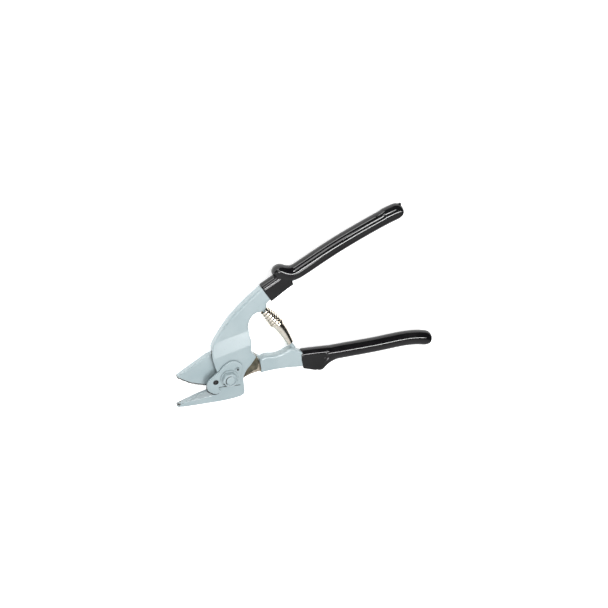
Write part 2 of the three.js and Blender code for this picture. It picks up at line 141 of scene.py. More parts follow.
def spring_line():
    chord = SPRING_FOOT - SPRING_TOP
    across = Vector((-chord.y, chord.x, 0)).normalized()
    crown = SPRING_TOP + chord * SPRING_CROWN + across * SPRING_ARCH
    return Line([SPRING_TOP.xy, crown.xy, SPRING_FOOT.xy])


SPRING_LINE = spring_line()


def lerp(a, b, t):
    return a + (b - a) * t


def smoothstep(value, low, high):
    t = min(max((value - low) / (high - low), 0.0), 1.0)
    return t * t * (3 - 2 * t)


# ---------------------------------------------------------------- material tools
class Nodes:
    """A material's node tree with short ways to add and link nodes."""

    def __init__(self, name):
        self.material = bpy.data.materials.new(name)
        self.material.use_nodes = True
        self.tree = self.material.node_tree
        self.shader = self.tree.nodes["Principled BSDF"]
        self.place = self.add("ShaderNodeTexCoord").outputs["Object"]

    def add(self, kind, **values):
        node = self.tree.nodes.new(kind)
        for key, value in values.items():
            setattr(node, key, value)
        return node

    def link(self, source, target):
        self.tree.links.new(source, target)

    def noise(self, scale, detail, place=None):
        node = self.add("ShaderNodeTexNoise")
        node.inputs["Scale"].default_value = scale
        node.inputs["Detail"].default_value = detail
        node.inputs["Roughness"].default_value = 0.55
        self.link(place or self.place, node.inputs["Vector"])
        return node.outputs["Fac"]

    def stretched(self, scale_xyz):
        node = self.add("ShaderNodeMapping")
        node.inputs["Scale"].default_value = scale_xyz
        self.link(self.place, node.inputs["Vector"])
        return node.outputs["Vector"]

    def ramp(self, source, low, high, low_value=0.0, high_value=1.0):
        node = self.add("ShaderNodeMapRange", clamp=True)
        node.inputs["From Min"].default_value = low
        node.inputs["From Max"].default_value = high
        node.inputs["To Min"].default_value = low_value
        node.inputs["To Max"].default_value = high_value
        self.link(source, node.inputs["Value"])
        return node.outputs["Result"]

    def mix(self, factor, first, second):
        """Two colours mixed; a Mix node keeps its colour sockets at 6, 7 and, for the result, 2."""
        node = self.add("ShaderNodeMix", data_type="RGBA")
        self.link(factor, node.inputs["Factor"])
        for value, socket in ((first, node.inputs[6]), (second, node.inputs[7])):
            if hasattr(value, "is_output"):
                self.link(value, socket)
            else:
                socket.default_value = (*value, 1.0)
        return node.outputs[2]

    def math(self, operation, first, second):
        node = self.add("ShaderNodeMath", operation=operation)
        for value, socket in ((first, node.inputs[0]), (second, node.inputs[1])):
            if hasattr(value, "is_output"):
                self.link(value, socket)
            else:
                socket.default_value = value
        return node.outputs[0]

    def edges(self, low, high):
        """1 on worn convex edges, 0 elsewhere."""
        return self.ramp(self.add("ShaderNodeNewGeometry").outputs["Pointiness"], low, high)

    def bump(self, height, strength, distance):
        """Adds a bump over any bumps already there."""
        node = self.add("ShaderNodeBump")
        node.inputs["Strength"].default_value = strength
        node.inputs["Distance"].default_value = distance
        self.link(height, node.inputs["Height"])
        normal = self.shader.inputs["Normal"]
        if normal.is_linked:
            self.link(normal.links[0].from_socket, node.inputs["Normal"])
        self.link(node.outputs["Normal"], normal)

    def set(self, **values):
        """Sets the shader's sockets by name, to a value or to a node's output."""
        for name, value in values.items():
            socket = self.shader.inputs[name.replace("_", " ")]
            if hasattr(value, "is_output"):
                self.link(value, socket)
            else:
                socket.default_value = value


def enamel(name, shade_factor=1.0):
    """Grey-blue enamel over a forged surface: slow waviness, orange peel, dust specks, worn edges. A
    shade_factor below 1 darkens every tone, for a copy with painted shade.
    """
    n = Nodes(name)
    patches = n.noise(28, 4)
    fine = n.noise(420, 3)
    cool_tone = [c * shade_factor for c in (0.266, 0.333, 0.353)]
    pale_tone = [c * shade_factor for c in (0.305, 0.370, 0.388)]
    tone = n.mix(n.ramp(patches, 0.35, 0.68), cool_tone, pale_tone)
    tone = n.mix(n.ramp(fine, 0.60, 0.74, 0.0, 0.35), tone, (0.25, 0.32, 0.345))
    specks = n.ramp(n.noise(900, 1.5), 0.735, 0.765)
    tone = n.mix(specks, tone, (0.14, 0.16, 0.17))
    broken = n.math("ADD", n.edges(0.56, 0.68), n.ramp(n.noise(260, 5), 0.3, 0.7, -0.42, 0.30))
    worn = n.ramp(broken, 0.72, 0.84)
    tone = n.mix(worn, tone, (0.17, 0.165, 0.15))
    n.set(Base_Color=tone, Roughness=n.ramp(n.noise(60, 5), 0.3, 0.7, 0.30, 0.42),
          Metallic=n.math("MULTIPLY", worn, 0.8), Coat_Weight=0.35, Coat_Roughness=0.20, IOR=1.5)
    n.bump(n.noise(75, 3), 0.30, 0.0007)
    n.bump(n.noise(650, 2), 0.10, 0.0002)
    n.bump(n.math("MULTIPLY", worn, -1.0), 0.5, 0.0001)
    return n.material


def vinyl(name):
    """Black dipped vinyl: wet gloss, faint sag ripples, tiny pits and a little handling haze."""
    n = Nodes(name)
    haze = n.noise(55, 5)
    tone = n.mix(n.ramp(haze, 0.3, 0.75), (0.0035, 0.0035, 0.004), (0.009, 0.009, 0.0095))
    dust = n.ramp(n.noise(1500, 2), 0.70, 0.76)
    tone = n.mix(n.math("MULTIPLY", dust, 0.3), tone, (0.05, 0.05, 0.05))
    n.set(Base_Color=tone, Roughness=n.ramp(haze, 0.3, 0.75, 0.05, 0.12), IOR=1.43)
    n.bump(n.noise(38, 2), 0.16, 0.0008)
    n.bump(n.noise(900, 2), 0.05, 0.00012)
    return n.material


def bright_strip(name):
    """Rolled spring strip: fine lines along the strip, warm reflections, a dark film between turns."""
    n = Nodes(name)
    lines = n.noise(1100, 4, place=n.stretched((1.0, 1.0, 0.06)))
    film = n.noise(140, 4)
    tone = n.mix(n.ramp(film, 0.42, 0.72), (0.93, 0.88, 0.79), (0.74, 0.67, 0.55))
    n.set(Base_Color=tone, Metallic=1.0, Roughness=n.ramp(lines, 0.3, 0.7, 0.10, 0.22))
    n.bump(lines, 0.12, 0.00008)
    return n.material


def ground_steel(name):
    """Bare ground cutting edge: grinding lines, dark handling stain and small bright spots."""
    n = Nodes(name)
    lines = n.noise(800, 5, place=n.stretched((0.10, 1.0, 1.0)))
    stain = n.noise(230, 5)
    tone = n.mix(n.ramp(stain, 0.38, 0.62), (0.018, 0.016, 0.014), (0.13, 0.12, 0.11))
    n.set(Base_Color=tone, Metallic=0.6, Roughness=n.ramp(lines, 0.3, 0.7, 0.28, 0.50))
    n.bump(lines, 0.25, 0.0001)
    return n.material


def plated(name, light, dark, rough):
    """Plated or machined metal with turning lines round the pivot and a cloudy passivation."""
    n = Nodes(name)
    cloud = n.noise(320, 4)
    tone = n.mix(n.ramp(cloud, 0.35, 0.7), light, dark)
    n.set(Base_Color=tone, Metallic=1.0, Roughness=n.ramp(n.noise(700, 4), 0.3, 0.7, rough, rough + 0.16))
    n.bump(n.noise(1200, 3), 0.12, 0.00008)
    return n.material


def nylon(name):
    """The cream ring that locks the nut."""
    n = Nodes(name)
    tone = n.mix(n.ramp(n.noise(500, 3), 0.35, 0.7), (0.74, 0.70, 0.60), (0.60, 0.56, 0.46))
    n.set(Base_Color=tone, Roughness=n.ramp(n.noise(900, 2), 0.3, 0.7, 0.42, 0.6), IOR=1.53)
    n.bump(n.noise(1100, 2), 0.1, 0.00006)
    return n.material


def lap_steel(name):
    """The bare lap face between the arms: olive-brown oil film over steel, scuffed by the other arm."""
    n = Nodes(name)
    film = n.noise(170, 5)
    scuff = n.noise(600, 5, place=n.stretched((0.25, 1.0, 1.0)))
    tone = n.mix(n.ramp(film, 0.38, 0.66), (0.045, 0.042, 0.028), (0.115, 0.105, 0.072))
    n.set(Base_Color=tone, Metallic=0.6, Roughness=n.ramp(scuff, 0.3, 0.7, 0.36, 0.58))
    n.bump(scuff, 0.2, 0.0001)
    return n.material


def painted_shade_black(name):
    """Near-black painted shade: the shade in the stop's hole, the shadows under the stop plate and the bolt
    head, the shade in the bolt's groove, on the stop pin's head and on the fixed hub's wall beside the
    blade.
    """
    n = Nodes(name)
    tone = n.mix(n.ramp(n.noise(700, 4), 0.35, 0.7), (0.004, 0.004, 0.004), (0.012, 0.011, 0.010))
    n.set(Base_Color=tone, Roughness=n.ramp(n.noise(500, 3), 0.3, 0.7, 0.55, 0.8))
    n.bump(n.noise(900, 3), 0.3, 0.0001)
    return n.material


PAINT = enamel("grey_blue_enamel")
# A darker copy of the enamel: painted shade for the jaw's bevel.
BEVEL_SHADED_PAINT = enamel("bevel_painted_shade_enamel", 0.62)
# Near-black painted shade and painted shadow, used where the tool falls into deep shade.
SHADE_BLACK = painted_shade_black("shade_black_paint")
VINYL = vinyl("black_vinyl")
STRIP = bright_strip("spring_strip")
EDGE = ground_steel("ground_edge")
ZINC = plated("zinc_plate", (0.60, 0.61, 0.60), (0.42, 0.43, 0.42), 0.26)
BRONZE = plated("bush_bronze", (0.55, 0.36, 0.16), (0.38, 0.24, 0.10), 0.30)
NYLON = nylon("nylon_ring")
LAP = lap_steel("lap_face_steel")
# A lighter bare steel for the lap face's rim: partly scuffed steel, partly a painted highlight of the lit
# rounded rim.
RIM_SCUFF_AND_HIGHLIGHT = plated("scuffed_rim_and_painted_highlight", (0.46, 0.41, 0.34), (0.27, 0.23, 0.18), 0.34)


# ---------------------------------------------------------------- mesh tools
def to_frame(x, y, height):
    """The frame's point for millimetres about the pivot and a height above the shear plane."""
    return Vector((x * MM, y * MM, height * MM + SHEAR_Z))


def loose_object(name, bm):
    """An object in the scene from a bmesh, its faces turned outward."""
    mesh = bpy.data.meshes.new(name)
    bmesh.ops.recalc_face_normals(bm, faces=bm.faces)
    bm.to_mesh(mesh)
    bm.free()
    item = bpy.data.objects.new(name, mesh)
    scene.collection.objects.link(item)
    return item


def new_piece(name, bm, materials, body, nodes=()):
    """A smooth-shaded piece from a bmesh, riding on a body and standing for the CAD nodes named."""
    piece = loose_object(name, bm)
    for material in materials:
        piece.data.materials.append(material)
    shade_smooth(piece)
    finish_piece(piece, body, nodes)
    return piece


def shade_smooth(piece):
    for polygon in piece.data.polygons:
        polygon.use_smooth = True


def finish_piece(piece, body, nodes=()):
    if body:
        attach(piece, body)
    if nodes:
        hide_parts(*nodes)


def apply_modifiers(piece):
    """Bakes the piece's modifiers into its mesh."""
    depsgraph = bpy.context.evaluated_depsgraph_get()
    baked = bpy.data.meshes.new_from_object(piece.evaluated_get(depsgraph))
    piece.modifiers.clear()
    piece.data = baked


def join_rows(bm, rows):
    """Joins rows of vertices of equal length with quads, each row to the next."""
    for a, b in zip(rows, rows[1:]):
        for i in range(len(a)):
            j = (i + 1) % len(a)
            bm.faces.new((a[i], a[j], b[j], b[i]))


def skin(bm, rings):
    """A solid through rings of points, closed at both ends."""
    rows = [[bm.verts.new(p) for p in ring] for ring in rings]
    join_rows(bm, rows)
    bm.faces.new(list(reversed(rows[0])))
    bm.faces.new(rows[-1])


def tube_skin(bm, rings):
    """A ring-shaped solid: the last ring joins the first again."""
    rows = [[bm.verts.new(p) for p in ring] for ring in rings]
    join_rows(bm, rows + rows[:1])


def soften_shape(piece, voxel, rounds):
    """Remeshes a piece finely and relaxes it, so sharp edges and joins become rounded."""
    remesh = piece.modifiers.new("remesh", "REMESH")
    remesh.mode = "VOXEL"
    remesh.voxel_size = voxel * MM
    soften = piece.modifiers.new("soften", "SMOOTH")
    soften.factor = 0.5
    soften.iterations = rounds
    apply_modifiers(piece)


# ---------------------------------------------------------------- forged arms
def forging(node, name, voxel, rounds):
    """The CAD forging with its edges softened as paint and a forging die leave them."""
    piece = bpy.data.objects.new(name, frame["nodes"][node].data.copy())
    piece.data.materials.clear()
    scene.collection.objects.link(piece)
    soften_shape(piece, voxel, rounds)
    shade_smooth(piece)
    return piece


def paint_faces(piece, materials, choose):
    """Gives each face the material whose index `choose(centre in mm about the pivot, normal)` returns."""
    piece.data.materials.clear()
    for material in materials:
        piece.data.materials.append(material)
    for polygon in piece.data.polygons:
        c = polygon.center
        polygon.material_index = choose(Vector((c.x, c.y, c.z - SHEAR_Z)) / MM, polygon.normal)


BLADE_EDGE = [(-24, -11), (-36, -7), (-41.5, -4.6), (-47.6, -0.6), (-51.6, 2.2), (-53.4, 3.6)]
JAW_EDGE = [(-22, -14.6), (-33, -17.2), (-44, -20.8), (-54.2, -24.3)]
EDGE_BAND = 1.8                        # width of bare steel along a cutting edge
LAP_RADIUS = 36.0                      # where the moving hub's bare face meets its shank
LAP_LOW_EDGE = [(38, -4), (28, -5.8), (20, -8.6), (12, -13.4)]
ARM_VOXEL = 0.55
ARM_ROUNDS = 4
NICK_REACH = 1.6
NICK_HALF_HEIGHT = 2.2
NICK_DEPTH = 5.0
BLADE_EDGE_END = -22                   # the bare blade edge lies left of this
HUB_SIDE = 8                           # the bare lap face lies right of this
LAP_LOWEST = -6
BLADE_SIDE_LEFT = -32                  # painted shade makes the fixed hub's wall near-black in this box, beside the blade
BLADE_SIDE_RIGHT = -8
BLADE_SIDE_LOW = 3
BLADE_SIDE_HIGH = 32
BLADE_SIDE_TOP = 4.4
JAW_EDGE_HEIGHT = 1.2
JAW_SCUFF_START = -49.5                # enamel is scuffed away from here to the jaw's tip
JAW_TIP = -55
BEVEL_CORNER = (-19, -9)               # the jaw's bevel lies left of and below this; its faces take painted shade
BEVEL_LEAN = (0.80, 0.97)              # how level the bevel's faces are


def distance_to(path, x, y):
    """Distance in millimetres from a point to a path of straight stretches."""
    best = 1e9
    for (ax, ay), (bx, by) in zip(path, path[1:]):
        dx, dy = bx - ax, by - ay
        t = min(max(((x - ax) * dx + (y - ay) * dy) / (dx * dx + dy * dy), 0.0), 1.0)
        best = min(best, math.hypot(x - ax - dx * t, y - ay - dy * t))
    return best


def nick_edge(piece, path, depth):
    """Small wear nicks along a cutting edge, deepest at the shear plane."""
    for vertex in piece.data.vertices:
        x = vertex.co.x / MM
        y = vertex.co.y / MM
        z = (vertex.co.z - SHEAR_Z) / MM
        if abs(z) > NICK_HALF_HEIGHT:
            continue
        away = distance_to(path, x, y)
        if away > NICK_REACH:
            continue
        bite = max(noise.noise(Vector((x * 0.9, y * 0.9, 0.3))) - 0.12, 0) * depth
        fade = (1 - away / NICK_REACH) * (1 - abs(z) / NICK_HALF_HEIGHT)
        vertex.co.y += bite * fade * MM


def moving_arm():
    """The lower handle's forging: enamel, a bare cutting edge and a bare lap face whose lighter rim is
    partly scuffed steel and partly a painted highlight.
    """
    piece = forging("moving_arm", "moving_arm_forging", ARM_VOXEL, ARM_ROUNDS)
    nick_edge(piece, BLADE_EDGE, NICK_DEPTH)

    def choose(c, normal):
        if distance_to(BLADE_EDGE, c.x, c.y) < EDGE_BAND and c.x < BLADE_EDGE_END:
            return 1
        radius = math.hypot(c.x, c.y)
        on_lap = c.x > HUB_SIDE and radius < LAP_RADIUS and c.z > LAP_LOWEST
        if on_lap and normal.z > -0.5:
            round_way = math.degrees(math.atan2(c.y, c.x))
            rim = lerp(0.3, 3.0, smoothstep(16 - round_way, 0, 22))
            low_band = lerp(1.4, 3.4, smoothstep(c.x, 20, 32))
            low_edge = distance_to(LAP_LOW_EDGE, c.x, c.y) < low_band
            # the rim and low edge take the lighter steel: part scuff, part painted highlight
            return 3 if radius > LAP_RADIUS - rim or low_edge else 2
        return 0

    paint_faces(piece, (PAINT, EDGE, LAP, RIM_SCUFF_AND_HIGHLIGHT), choose)
    finish_piece(piece, MOVING, ("moving_arm",))


def fixed_arm():
    """The upper handle's forging: enamel, a bare cutting edge, painted shade on the wall beside the blade
    and on the jaw's bevel.
    """
    piece = forging("fixed_arm", "fixed_arm_forging", ARM_VOXEL, ARM_ROUNDS)

    def choose(c, normal):
        if distance_to(JAW_EDGE, c.x, c.y) < EDGE_BAND and c.z < JAW_EDGE_HEIGHT:
            return 1
        # painted shade: the hub's wall beside the blade is made near-black, where its shadow falls
        in_blade_side_shade = (BLADE_SIDE_LEFT < c.x < BLADE_SIDE_RIGHT and BLADE_SIDE_LOW < c.y < BLADE_SIDE_HIGH
                    and c.z < BLADE_SIDE_TOP)
        if in_blade_side_shade and normal.z < 0.35 and normal.x < -0.3:
            return 3
        scuff = lerp(0.42, -0.05, smoothstep(-c.x, -JAW_SCUFF_START, -JAW_TIP))
        if c.x < JAW_SCUFF_START and noise.noise(c * 0.8) > scuff:
            return 1
        # painted shade: the jaw's bevel faces take the darker copy of the enamel
        on_jaw = c.x < BEVEL_CORNER[0] and c.y < BEVEL_CORNER[1]
        if on_jaw and BEVEL_LEAN[0] < normal.z < BEVEL_LEAN[1]:
            return 2
        return 0

    paint_faces(piece, (PAINT, EDGE, BEVEL_SHADED_PAINT, SHADE_BLACK), choose)
    finish_piece(piece, FIXED, ("fixed_arm",))


# ---------------------------------------------------------------- strap stop
STOP_VOXEL = 0.28
STOP_ROUNDS = 3
STOP_HOLE = Vector((-14.5, -3.2, 0))
STOP_HOLE_SHADE_RADIUS = 3.3
STOP_HOLE_SIDES = 48
# (radius, height) of the near-black plug of painted shade in the hole, from its foot up its side and over
# its dished top
STOP_HOLE_FILL = ((0.3, 4.4), (2.9, 4.3), (3.0, 8.3), (2.2, 7.7), (0.4, 7.4))
SHADOW_LINE_SHIFT = Vector((-0.4, -2.1, 0))     # the painted shadow line shows past the plate's lower edge
SHADOW_LINE_LOW = 0.03                 # its lower and upper faces, above the plate's foot
SHADOW_LINE_HIGH = 0.18


def ring_at(radius, height, count, centre=Vector((0, 0, 0))):
    """A level circle of points round a centre."""
    ring = []
    for i in range(count):
        angle = 2 * math.pi * i / count
        x = centre.x + radius * math.cos(angle)
        y = centre.y + radius * math.sin(angle)
        ring.append(to_frame(x, y, height))
    return ring


def strap_stop():
    """The painted plate, with painted shade down its hole: a near-black wall and a near-black plug."""
    piece = forging("strap_stop", "strap_stop_plate", STOP_VOXEL, STOP_ROUNDS)

    def choose(c, normal):
        # painted shade: the hole's wall is near-black
        from_hole = math.hypot(c.x - STOP_HOLE.x, c.y - STOP_HOLE.y)
        return 1 if from_hole < STOP_HOLE_SHADE_RADIUS and normal.z < 0.75 else 0

    paint_faces(piece, (PAINT, SHADE_BLACK), choose)
    finish_piece(piece, FIXED, ("strap_stop",))
    bm = bmesh.new()
    skin(bm, [ring_at(radius, height, STOP_HOLE_SIDES, STOP_HOLE) for radius, height in STOP_HOLE_FILL])
    new_piece("stop_hole_painted_shade", bm, (SHADE_BLACK,), FIXED)


def stop_painted_shadow_line():
    """A painted shadow along the plate's foot: the plate's own outline in near-black, pressed thin and
    moved a little.
    """
    line = bpy.data.objects.new("stop_painted_shadow_line", frame["nodes"]["strap_stop"].data.copy())
    line.data.materials.clear()
    line.data.materials.append(SHADE_BLACK)
    scene.collection.objects.link(line)
    low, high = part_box("strap_stop")
    for vertex in line.data.vertices:
        share = (vertex.co.z - low.z) / (high.z - low.z)
        rise = lerp(SHADOW_LINE_LOW, SHADOW_LINE_HIGH, share)
        vertex.co += SHADOW_LINE_SHIFT * MM
        vertex.co.z = low.z + rise * MM
    finish_piece(line, FIXED)


# ---------------------------------------------------------------- turned and six-sided hardware
WASHER_SIDES = 72
HEX_SIDES = 96
HEAD_BORE = 5.1
BACK_BORE = 4.1
WASHER_SHADOW_BELOW = -4.5              # the head washer takes painted shadow on the side below this
THREAD_RADIUS = 4.0
THREAD_PITCH = 1.25
THREAD_DEPTH = 0.62
THREAD_STEPS = 12                      # rings in one turn of the thread
THREAD_LEAD = 0.8                      # length of the tapered end
THREAD_START = -7.4
SHOULDER_RADIUS = 5.0
SHOULDER_END = -7.0
BOLT_HEAD = 5.6
BOLT_FLATS = 14.3
BOLT_TURN = math.radians(3)
BOLT_GROOVE = 5.7                      # outer radius of the groove in the bolt's head
BOLT_DOME = ((0.4, -0.12), (3.0, -0.10))
GROOVE_SHAPE = ((-1.5, -0.12), (-1.05, -0.35), (-0.75, -0.85), (-0.35, -0.90), (-0.1, -0.1), (0.1, -0.02))
GROOVE_SHADE_ARC = (78, 226)               # degrees round the head where painted shade darkens the groove
NUT_FLATS = 13
NUT_TURN = 0.3
NUT_BORE = 4.15
NUT_COLLAR = 1.7                       # height of the round collar behind the nut's flats
SLOT_SIDES = 32
SLOT_NARROWING = 0.72
SLOT_PROFILE = ((0.1, 0.02), (0.9, 0.05), (1.5, 0.03), (1.6, -0.4))      # (radius, height over the pin)


def soften_edges(piece, width):
    bevel = piece.modifiers.new("edges", "BEVEL")
    bevel.width = width * MM
    bevel.segments = 3
    bevel.limit_method = "ANGLE"
    bevel.angle_limit = math.radians(28)
    bevel.harden_normals = True


def height_range(node):
    """The bottom and top of a CAD node, in millimetres above the shear plane."""
    low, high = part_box(node)
    return (low.z - SHEAR_Z) / MM, (high.z - SHEAR_Z) / MM


def washer(name, node, bore, material, bevel):
    """A plain washer as wide and as thick as its CAD node."""
    low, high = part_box(node)
    outer = (high.x - low.x) / 2 / MM
    bottom, top = height_range(node)
    profile = ((bore, bottom), (outer, bottom), (outer, top), (bore, top))
    bm = bmesh.new()
    tube_skin(bm, [ring_at(radius, height, WASHER_SIDES) for radius, height in profile])
    piece = new_piece(name, bm, (material,), FIXED, (node,))
    soften_edges(piece, bevel)
    return piece


def washers():
    head = washer("head_washer_disc", "head_washer", HEAD_BORE, PAINT, 0.3)
    head.data.materials.append(SHADE_BLACK)
    # painted shadow under the bolt head: the washer's lower side is near-black
    for polygon in head.data.polygons:
        polygon.material_index = 1 if polygon.center.y < WASHER_SHADOW_BELOW * MM else 0
    washer("back_washer_disc", "back_washer", BACK_BORE, ZINC, 0.2)


def hex_ring(across_flats, height, turn, drop_from=None, slope=0.577):
    """A six-sided ring; past the radius `drop_from` it falls away as a chamfer cone cuts it."""
    ring = []
    for i in range(HEX_SIDES):
        angle = 2 * math.pi * i / HEX_SIDES
        side = (angle - turn) % (math.pi / 3) - math.pi / 6
        radius = across_flats / 2 / math.cos(side)
        fall = 0 if drop_from is None else (radius - drop_from) * slope
        ring.append(to_frame(radius * math.cos(angle), radius * math.sin(angle), height - fall))
    return ring


def round_ring(radius, height):
    return ring_at(radius, height, HEX_SIDES)


def thread_rings(start, end):
    """Rings down a threaded shaft: one thread cut as a helix."""
    rings = []
    count = int((start - end) / THREAD_PITCH * THREAD_STEPS)
    for k in range(count + 1):
        height = lerp(start, end, k / count)
        lead = min(1.0, (height - end) / THREAD_LEAD)
        ring = []
        for i in range(HEX_SIDES):
            angle = 2 * math.pi * i / HEX_SIDES
            phase = (height / THREAD_PITCH + i / HEX_SIDES) % 1
            groove = max(0.0, 1 - abs(phase - 0.5) * 2.6) * THREAD_DEPTH
            radius = (THREAD_RADIUS - groove) * lerp(0.86, 1.0, lead)
            ring.append(to_frame(radius * math.cos(angle), radius * math.sin(angle), height))
        rings.append(ring)
    return rings


def bolt():
    """The pivot bolt: a flat six-sided head with a round groove, a shoulder and a thread."""
    end, top = height_range("pivot_bolt")
    seat = top - BOLT_HEAD
    rings = [round_ring(radius, top + drop) for radius, drop in BOLT_DOME]
    rings += [round_ring(BOLT_GROOVE + aside, top + drop) for aside, drop in GROOVE_SHAPE]
    rings += [hex_ring(BOLT_FLATS, top, BOLT_TURN, drop_from=BOLT_GROOVE + 0.1),
              hex_ring(BOLT_FLATS, seat, BOLT_TURN),
              round_ring(SHOULDER_RADIUS, seat),
              round_ring(SHOULDER_RADIUS, SHOULDER_END),
              round_ring(THREAD_RADIUS, SHOULDER_END)]
    bm = bmesh.new()
    skin(bm, rings + thread_rings(THREAD_START, end))
    piece = new_piece("pivot_bolt_body", bm, (PAINT, SHADE_BLACK), FIXED, ("pivot_bolt",))
    # painted shade: part of the groove's arc is near-black
    inner, outer = (BOLT_GROOVE - 1.15) * MM, (BOLT_GROOVE - 0.05) * MM
    floor_height = (top - 1.2) * MM + SHEAR_Z
    for polygon in piece.data.polygons:
        c = polygon.center
        round_way = math.degrees(math.atan2(c.y, c.x)) % 360
        in_groove = inner < math.hypot(c.x, c.y) < outer and c.z > floor_height
        in_shade_arc = GROOVE_SHADE_ARC[0] < round_way < GROOVE_SHADE_ARC[1]
        polygon.material_index = 1 if in_groove and in_shade_arc else 0
    soften_edges(piece, 0.22)


def nut():
    """The lock nut: six flats and a round collar that holds the nylon ring."""
    back, front = height_range("lock_nut")
    collar_top = back + NUT_COLLAR
    rings = [round_ring(NUT_BORE, front),
             round_ring(6.1, front),
             hex_ring(NUT_FLATS, front, NUT_TURN, drop_from=6.1),
             hex_ring(NUT_FLATS, collar_top, NUT_TURN, drop_from=6.4, slope=-0.3),
             round_ring(6.35, collar_top - 0.1),
             round_ring(6.2, back + 0.5),
             round_ring(5.7, back + 0.05),
             round_ring(5.3, back),
             round_ring(5.25, back + 1.6),
             round_ring(NUT_BORE, back + 1.65)]
    bm = bmesh.new()
    tube_skin(bm, rings)
    piece = new_piece("lock_nut_body", bm, (ZINC,), FIXED, ("lock_nut",))
    soften_edges(piece, 0.15)


def carried_over():
    """CAD nodes whose shape is right keep it and take a finished material."""
    finishes = (("disc_spring", ZINC), ("pivot_bush", BRONZE), ("nut_insert", NYLON), ("stop_pin", PAINT))
    for node, material in finishes:
        item = frame["nodes"][node]
        item.data.materials.clear()
        item.data.materials.append(material)
        soften_edges(item, 0.12)


def stop_pin_painted_shade():
    """A thin near-black lens on the stop pin's head: painted shade for a small pit."""
    low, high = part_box("stop_pin")
    middle = (low + high) / 2
    rings = []
    for radius, height in SLOT_PROFILE:
        ring = []
        for i in range(SLOT_SIDES):
            angle = 2 * math.pi * i / SLOT_SIDES
            across = radius * math.cos(angle) * SLOT_NARROWING
            ring.append(Vector((middle.x + across * MM, middle.y + radius * math.sin(angle) * MM,
                                high.z + height * MM)))
        rings.append(ring)
    bm = bmesh.new()
    skin(bm, rings)
    new_piece("stop_pin_painted_shade", bm, (SHADE_BLACK,), FIXED)


# ---------------------------------------------------------------- grips
GRIP_WIDTH = 17.5
GRIP_THICKNESS = 14.5
TUBE_SIDES = 40
TUBE_STEP = 1.6                        # length of a stretch between a tube's rings
CAP_RINGS = 8
CAP_ANGLE = 11                         # degrees between a round end's rings
COLLAR_START = -0.3
COLLAR_STEPS = 26
COLLAR_HALF = 6.1                      # half the thickness of a sleeve's flat-sided mouth
SLEEVE_VOXEL = 0.42
SLEEVE_ROUNDS = 45
POCKET_END = 8
POCKET_STEPS = 40
POCKET_HALF = 5.35
POCKET_SECTION = ((1, -0.66), (1, 0.66), (0.8, 1), (-0.8, 1),
                  (-1, 0.66), (-1, -0.66), (-0.8, -1), (0.8, -1))


def smooth_stations(stations):
    """Stations joined by a Catmull-Rom curve through every one of their numbers."""
    fine = []
    before = [stations[0]] + stations
    after = stations[2:] + [stations[-1]]
    for a, b, c, d in zip(before, stations, stations[1:], after):
        steps = max(3, int((c[0] - b[0]) / TUBE_STEP))
        for k in range(steps):
            t = k / steps
            fine.append([0.5 * ((2 * q) + (r - p) * t + (2 * p - 5 * q + 4 * r - w) * t * t
                                + (3 * q - p - 3 * r + w) * t * t * t) for p, q, r, w in zip(a, b, c, d)])
    fine.append(list(stations[-1]))
    return fine


def swept(bm, line, stations, round_end):
    """A closed swept body through (along, aside, radius) stations, joined smoothly."""
    fine = smooth_stations(stations)
    if round_end:
        along, aside, radius = fine[-1]
        for k in range(1, CAP_RINGS + 1):
            turn = math.radians(CAP_ANGLE * k)
            fine.append([along + radius * math.sin(turn), aside, radius * math.cos(turn)])
    rings = []
    for k, (along, aside, radius) in enumerate(fine):
        nearer, further = fine[max(k - 1, 0)], fine[min(k + 1, len(fine) - 1)]
        lean = Vector((further[0] - nearer[0], further[1] - nearer[1], 0))
        in_cap = round_end and along > stations[-1][0]
        lean = Vector((1, 0, 0)) if in_cap or lean.length <= 1e-6 else lean.normalized()
        half_up = min(radius * 1.18, GRIP_THICKNESS / 2 + 0.1)
        ring = []
        for i in range(TUBE_SIDES):
            angle = 2 * math.pi * i / TUBE_SIDES
            out = radius * math.cos(angle)
            ring.append(line.beside(along - lean.y * out, aside + lean.x * out, half_up * math.sin(angle)))
        rings.append(ring)
    skin(bm, rings)


def collar_section(outer, inner, round_radius, corner):
    """The mouth's section: a full round on its outer side and two corners on its inner side."""
    round_up = min(round_radius, COLLAR_HALF)
    section = []
    for i in range(13):
        angle = math.radians(90 - 15 * i)
        side = math.copysign(1, math.sin(angle) + 1e-9)
        section.append((outer - round_radius + round_radius * math.cos(angle),
                        (COLLAR_HALF - round_up) * side + round_up * math.sin(angle)))
    for i in range(9):
        angle = math.radians(-90 - 22.5 * i)
        side = -1 if i <= 4 else 1
        section.append((inner + corner + corner * math.cos(angle),
                        (COLLAR_HALF - corner) * side + corner * math.sin(angle)))
    return section


def collar(bm, line, outside, end, edges, round_radius, corner, slant):
    """The flat-sided mouth of a sleeve. `edges(along)` gives its outer and inner edge beside the line."""
    rings = []
    for k in range(COLLAR_STEPS + 1):
        along = lerp(COLLAR_START, end, k / COLLAR_STEPS)
        outer, inner = edges(along)
        lean = slant * (1 - k / COLLAR_STEPS)
        rings.append([line.beside(along + lean * aside, aside * outside, up)
                      for aside, up in collar_section(outer, inner, round_radius, corner)])
    skin(bm, rings)


def nib(bm, line, along, aside, radius):
    """The small drip left where the sleeve was lifted out of the dip."""
    place = line.beside(along, aside, 1.0)
    bmesh.ops.create_uvsphere(bm, u_segments=14, v_segments=10, radius=radius * MM,
                              matrix=Matrix.Translation(place))


